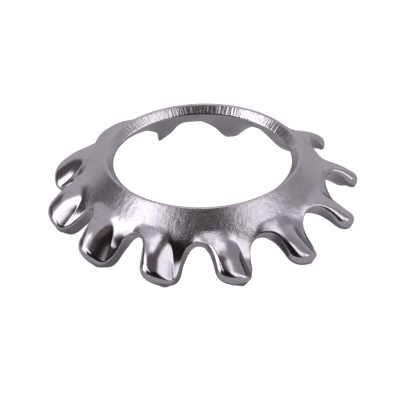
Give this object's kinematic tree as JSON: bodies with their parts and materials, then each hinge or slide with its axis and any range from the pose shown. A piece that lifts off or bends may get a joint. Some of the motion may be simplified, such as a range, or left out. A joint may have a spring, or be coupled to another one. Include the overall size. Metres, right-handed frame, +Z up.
{
  "type": "toothed lock washer",
  "caption": "Conical toothed lock washer for a countersunk screw: a dished spring-steel ring whose bent outer teeth bite into the seat.",
  "frame": {"origin": "centre of the bore axis on the plane that the tooth tips stand on", "axes": "+Z up along the bore axis, towards the small end of the cone, and -Y towards the viewer of the main view"},
  "size_m": [0.0114, 0.0114, 0.0024],
  "materials": {
    "plated_steel": "tumbled and bright zinc plated spring steel, satin on the ring and polished on the pressed teeth"
  },
  "bodies": {
    "root": {"lock_washer": "plated_steel"}
  },
  "joints": []
}
